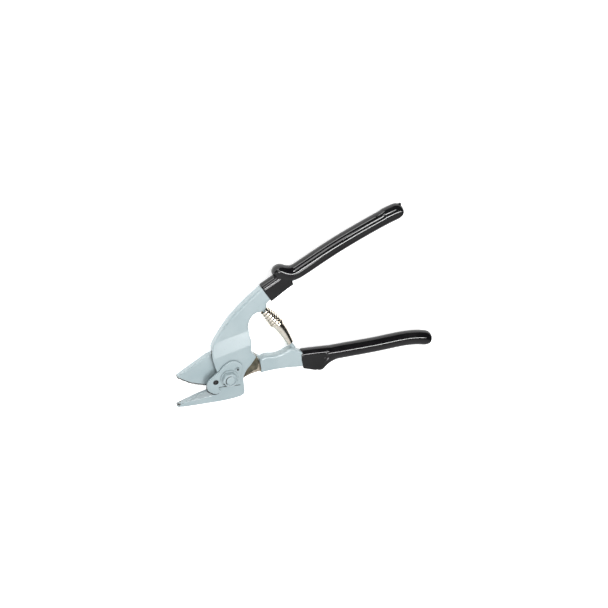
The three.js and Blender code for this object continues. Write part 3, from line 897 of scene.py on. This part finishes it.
def pocket(line):
    """The space inside a sleeve that its steel tang fills, narrowing from the mouth on."""
    rings = []
    for k in range(POCKET_STEPS + 1):
        along = lerp(-POCKET_END, line.length - POCKET_END, k / POCKET_STEPS)
        half = max(9.35 - 0.1 * max(along, 0), 6.3)
        rings.append([line.beside(along, half * x, POCKET_HALF * y) for x, y in POCKET_SECTION])
    bm = bmesh.new()
    skin(bm, rings)
    return loose_object("pocket", bm)


def sleeve(line, outside, name, body, node, paths, end, edges, drip, round_radius, corner, slant):
    """A dipped vinyl sleeve: its parts fused and softened together, then opened for the steel inside."""
    bm = bmesh.new()
    for stations in paths:
        swept(bm, line, [(a, c * outside, r) for a, c, r in stations], stations is paths[0])
    collar(bm, line, outside, end, edges, round_radius, corner, slant)
    if drip:
        nib(bm, line, *drip)
    piece = loose_object(name, bm)
    soften_shape(piece, SLEEVE_VOXEL, SLEEVE_ROUNDS)
    cutter = pocket(line)
    cut = piece.modifiers.new("cut", "BOOLEAN")
    cut.operation = "DIFFERENCE"
    cut.solver = "EXACT"
    cut.object = cutter
    apply_modifiers(piece)
    bpy.data.objects.remove(cutter)
    piece.data.materials.clear()
    piece.data.materials.append(VINYL)
    shade_smooth(piece)
    piece.data.set_sharp_from_angle(angle=math.radians(50))
    finish_piece(piece, body, (node,))


def grips():
    """Both sleeves: (along, aside, radius) paths for the guard and the tube, and a mouth's two edges."""
    tube = GRIP_WIDTH / 2
    upper_end = UPPER_LINE.length - tube
    lower_end = LOWER_LINE.length - tube
    upper_path = [(22.0, 17.6, 1.5), (22.3, 16.0, 5.0), (23.0, 13.0, 6.8), (24.8, 9.2, 7.6),
                  (28.0, 5.0, 8.3), (33.0, 1.2, 8.6), (39, 0, 8.6), (46, 0, tube), (80, 0, tube),
                  (upper_end - 18, 0, tube), (upper_end - 12, 0.5, tube + 0.4),
                  (upper_end, 0.3, tube + 0.4)]
    lower_path = [(19.8, 18.9, 1.5), (20.2, 17.2, 4.2), (21.2, 14.6, 5.9), (23.2, 11.4, 6.4),
                  (26.5, 7.8, 7.0), (31, 3.9, 7.9), (38, 0.8, 8.6), (46, 0, tube), (80, 0, tube),
                  (lower_end, 0, tube)]
    inner_path = [(29, -1.6, 6.6), (34, -1.0, 7.6), (40, -0.3, 8.4), (47, 0, 8.7)]
    drip = (UPPER_LINE.length - 1.6, 6.8, 1.8)

    def upper_edges(along):
        return 11.0 - 0.03 * along, -10.7 + 0.055 * along

    def lower_edges(along):
        outer = min(11.4 + 0.36 * along, 16.6, 16.6 - 0.85 * (along - 15))
        return outer, -11.0 + 0.07 * along

    sleeve(UPPER_LINE, 1, "upper_grip_sleeve", FIXED, "upper_grip", [upper_path],
           29.6, upper_edges, drip, round_radius=6.0, corner=0.9, slant=0.0)
    sleeve(LOWER_LINE, -1, "lower_grip_sleeve", MOVING, "lower_grip", [lower_path, inner_path],
           33.0, lower_edges, None, round_radius=1.4, corner=6.0, slant=0.19)


# ---------------------------------------------------------------- volute spring
COIL_STEPS = 60                        # rings in one turn of the strip
COIL_CORNER = 0.2                      # how far the strip's rounded corners reach
UPPER_CONE_RADII = (4.3, 7.9)
LOWER_CONE_RADII = (6.7, 3.6)
UPPER_TURNS = 6.3
LOWER_TURNS = 7.0
UPPER_STRIP = (1.64, 0.24)             # half the strip's width and half its thickness
LOWER_STRIP = (5.0, 0.22)
UPPER_CONE_START = 1.6
UPPER_CONE_END = 0.41                  # shares of the spring's length where the cones overlap
LOWER_CONE_START = 0.38
LOWER_CONE_FOOT = 5.0                  # how far the lower strip's middle stays from the spring's foot


def coil(bm, radius_at, along_at, turns, half_wide, half_thick):
    """One strip wound round the spring's line, its wider sides lying along the line."""
    shoulder = half_wide - COIL_CORNER
    inset = half_thick * 0.4
    section = ((-half_thick, -shoulder), (-inset, -half_wide), (inset, -half_wide), (half_thick, -shoulder),
               (half_thick, shoulder), (inset, half_wide), (-inset, half_wide), (-half_thick, shoulder))
    rings = []
    total = int(turns * COIL_STEPS)
    for k in range(total + 1):
        share = k / total
        angle = 2 * math.pi * turns * share
        radius, along = radius_at(share), along_at(share)
        rings.append([SPRING_LINE.beside(along + wide, (radius + thick) * math.cos(angle),
                                         (radius + thick) * math.sin(angle)) for thick, wide in section])
    skin(bm, rings)


def volute_spring():
    """Two volute cones of flat strip: the stepped upper one hoods the wide end of the smooth lower one."""
    length = SPRING_LINE.length

    def upper_radius(share):
        return lerp(*UPPER_CONE_RADII, share ** 0.8)

    def upper_along(share):
        return lerp(UPPER_CONE_START, length * UPPER_CONE_END, share)

    def lower_radius(share):
        return lerp(*LOWER_CONE_RADII, share ** 1.15)

    def lower_along(share):
        return lerp(length * LOWER_CONE_START, length - LOWER_CONE_FOOT, share)

    bm = bmesh.new()
    coil(bm, upper_radius, upper_along, UPPER_TURNS, *UPPER_STRIP)
    coil(bm, lower_radius, lower_along, LOWER_TURNS, *LOWER_STRIP)
    piece = new_piece("volute_spring", bm, (STRIP,), None,
                      ("spring_upper_cone", "spring_lower_cone"))
    piece.data.set_sharp_from_angle(angle=math.radians(40))
    start, end = SPRING_LINE.beside(0, 0, 0), SPRING_LINE.beside(length, 0, 0)
    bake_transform(piece)


# ---------------------------------------------------------------- stage, light and camera
FLOOR_RADIUS = 60.0                    # metres, so the floor's edge is out of sight
CAMERA_TIP = math.radians(33)          # how far the view leans from the pivot's axis
CAMERA_TURN = math.radians(120)
CAMERA_DISTANCE = 1.1
CAMERA_TARGET = Vector((0.08743, 0.06401, SHEAR_Z - 0.00761))


def floor():
    """A pale paper floor that glows a little, so shadows on it stay faint."""
    bm = bmesh.new()
    bmesh.ops.create_circle(bm, cap_ends=True, segments=96, radius=FLOOR_RADIUS)
    mesh = bpy.data.meshes.new("floor")
    bm.to_mesh(mesh)
    bm.free()
    plane = bpy.data.objects.new("floor", mesh)
    scene.collection.objects.link(plane)
    n = Nodes("floor_paper")
    tone = n.mix(n.ramp(n.noise(6, 3), 0.3, 0.7), (0.90, 0.90, 0.90), (0.93, 0.93, 0.93))
    n.set(Base_Color=tone, Roughness=0.9, Emission_Color=(1, 1, 1, 1), Emission_Strength=0.56)
    mesh.materials.append(n.material)


def area_light(name, place, target, wide, high, power):
    """A soft box hidden from the camera, aimed at the target."""
    light = bpy.data.lights.new(name, "AREA")
    light.shape = "RECTANGLE"
    light.size = wide
    light.size_y = high
    light.energy = power
    lamp = bpy.data.objects.new(name, light)
    lamp.location = place
    lamp.visible_camera = False
    lamp.rotation_euler = (target - place).to_track_quat("-Z", "Y").to_matrix().to_euler()
    scene.collection.objects.link(lamp)


def studio_world():
    """A white tent, bright overhead and towards the near side, dark towards the far side.

    The camera itself sees plain white behind the tool.
    """
    world = bpy.data.worlds.new("studio")
    world.use_nodes = True
    tree = world.node_tree
    background = tree.nodes["Background"]
    place = tree.nodes.new("ShaderNodeTexCoord")
    facing = tree.nodes.new("ShaderNodeVectorMath")
    facing.operation = "DOT_PRODUCT"
    facing.inputs[1].default_value = Vector((-0.45, -0.70, 0.55)).normalized()
    spread = tree.nodes.new("ShaderNodeMapRange")
    for name, value in (("From Min", 0.40), ("From Max", 0.62), ("To Min", 0.02), ("To Max", 0.75)):
        spread.inputs[name].default_value = value
    tree.links.new(place.outputs["Generated"], facing.inputs[0])
    tree.links.new(facing.outputs["Value"], spread.inputs["Value"])
    path = tree.nodes.new("ShaderNodeLightPath")
    seen = tree.nodes.new("ShaderNodeMix")
    seen.inputs["B"].default_value = 1.0
    tree.links.new(path.outputs["Is Camera Ray"], seen.inputs["Factor"])
    tree.links.new(spread.outputs["Result"], seen.inputs["A"])
    tree.links.new(seen.outputs["Result"], background.inputs["Strength"])
    background.inputs["Color"].default_value = (1, 1, 1, 1)
    scene.world = world


def lights():
    studio_world()
    centre = Vector((0.09, 0.06, 0.0))
    area_light("key_softbox", centre + Vector((0.06, 0.62, 1.02)), centre, 0.24, 0.20, 3.6)
    area_light("camera_side_softbox", centre + Vector((-0.33, 0.68, 1.00)), centre, 0.46, 0.40, 3.8)
    area_light("overhead_strip", centre + Vector((0.30, -0.02, 1.22)), centre, 0.11, 0.95, 10.5)
    area_light("near_softbox", centre + Vector((0.13, -0.28, 1.18)), centre, 0.20, 0.20, 2.0)
    area_light("far_strip", centre + Vector((-0.50, 1.08, 0.26)), centre, 0.65, 0.22, 4.5)
    area_light("left_softbox", centre + Vector((-0.75, -0.35, 0.80)), centre, 0.6, 0.6, 1.2)


def camera():
    """A view of the tool's front, leaning from the pivot's axis, with the handles running to the right."""
    back = Vector((math.sin(CAMERA_TIP) * math.cos(CAMERA_TURN),
                   math.sin(CAMERA_TIP) * math.sin(CAMERA_TURN),
                   math.cos(CAMERA_TIP)))
    up = (Vector((0, 1, 0)) - back * back.y).normalized()
    right = up.cross(back)
    data = bpy.data.cameras.new("camera")
    data.sensor_width = 36.0
    data.lens = 62.0
    eye = bpy.data.objects.new("camera", data)
    facing = Matrix((right, up, back)).transposed().to_4x4()
    eye.matrix_world = Matrix.Translation(CAMERA_TARGET + back * CAMERA_DISTANCE) @ facing
    scene.collection.objects.link(eye)
    scene.camera = eye


camera()
floor()
lights()
fixed_arm()
moving_arm()
strap_stop()
stop_painted_shadow_line()
washers()
bolt()
nut()
carried_over()
stop_pin_painted_shade()
grips()
volute_spring()
scene.view_settings.view_transform = "Standard"
